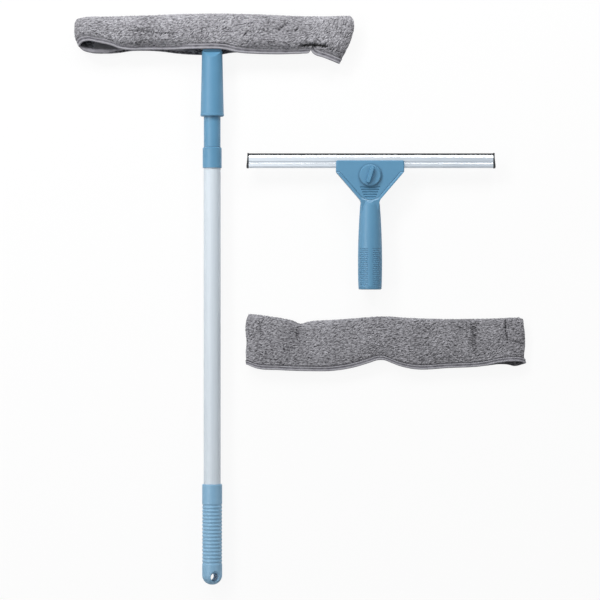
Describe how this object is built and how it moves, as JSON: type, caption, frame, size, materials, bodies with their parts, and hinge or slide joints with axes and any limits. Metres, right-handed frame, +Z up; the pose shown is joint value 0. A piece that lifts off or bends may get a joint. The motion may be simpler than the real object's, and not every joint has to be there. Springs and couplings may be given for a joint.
{
  "type": "window cleaning squeegee set",
  "caption": "Window cleaning set: clamp-head squeegee, twist-lock telescopic pole with a pile-sleeved washer bar, and a spare washer sleeve, laid out flat.",
  "frame": {"origin": "middle of the whole set's outline, on the surface that it lies on", "axes": "+Y along the pole from its grip towards the washer, +X towards the squeegee, +Z up from the surface"},
  "size_m": [0.5408, 0.6846, 0.0324],
  "materials": {
    "blue_plastic": "satin moulded polypropylene, light blue",
    "white_coat": "smooth powder coat, cool white",
    "lock_plastic": "natural moulded nylon",
    "steel": "zinc plated",
    "aluminium": "satin anodised extrusion with fine lines along it",
    "black_rubber": "matt natural rubber",
    "black_plastic": "moulded, fine texture",
    "pile_cloth": "looped microfibre pile, mid grey",
    "binding_tape": "woven binding, stitched along the hem",
    "hook_loop_tape": "hook and loop tape"
  },
  "bodies": {
    "pole": {"outer_tube": "white_coat", "pole_grip": "blue_plastic", "tube_collar": "blue_plastic"},
    "lock_cam": {"lock_cam": "lock_plastic"},
    "inner_stage": {"inner_tube": "white_coat", "lock_plug": "lock_plastic", "cam_screw": "steel", "pole_tip": "blue_plastic"},
    "washer": {"washer_bar": "blue_plastic", "washer_front_cloth": "pile_cloth", "washer_back_cloth": "pile_cloth", "washer_front_binding": "binding_tape", "washer_back_binding": "binding_tape", "washer_loop_strip": "hook_loop_tape", "washer_hook_strip": "hook_loop_tape"},
    "squeegee": {"squeegee_handle": "blue_plastic", "clamp_nut": "steel"},
    "jaw": {"front_jaw": "blue_plastic"},
    "knob": {"clamp_knob": "blue_plastic", "clamp_screw": "steel"},
    "channel": {"blade_channel": "aluminium", "rubber_blade": "black_rubber", "end_cap_left": "black_plastic", "end_cap_right": "black_plastic"},
    "spare_sleeve": {"spare_front_cloth": "pile_cloth", "spare_back_cloth": "pile_cloth", "spare_front_binding": "binding_tape", "spare_back_binding": "binding_tape", "spare_loop_strip": "hook_loop_tape", "spare_hook_strip": "hook_loop_tape"}
  },
  "joints": [
    {"name": "telescope", "type": "slide", "parent": "pole", "child": "lock_cam", "axis": [0, 1, 0], "range_m": [0, 0.37]},
    {"name": "lock_twist", "type": "hinge", "parent": "lock_cam", "child": "inner_stage", "pos_m": [-0.106, -0.2926, 0.0142], "axis": [0, 1, 0], "range_deg": [-17, 17]},
    {"name": "washer_pull_off", "type": "slide", "parent": "inner_stage", "child": "washer", "axis": [0, 1, 0], "range_m": [0, 0.09]},
    {"name": "squeegee_lift", "type": "slide", "parent": "pole", "child": "squeegee", "axis": [0, 0, 1], "range_m": [0, 0.15]},
    {"name": "jaw_open", "type": "slide", "parent": "squeegee", "child": "jaw", "axis": [0, 0, 1], "range_m": [0, 0.0016]},
    {"name": "knob_turn", "type": "hinge", "parent": "jaw", "child": "knob", "pos_m": [0.0834, 0.1482, 0.025], "axis": [0, 0, 1], "range_deg": [0, 720]},
    {"name": "channel_slide", "type": "slide", "parent": "squeegee", "child": "channel", "axis": [1, 0, 0], "range_m": [-0.025, 0.1]},
    {"name": "spare_sleeve_lift", "type": "slide", "parent": "pole", "child": "spare_sleeve", "axis": [0, 0, 1], "range_m": [0, 0.1]}
  ],
  "couplings": [
    {"joint": "knob_turn", "follows": "jaw_open", "rad_per_m": 7854}
  ]
}
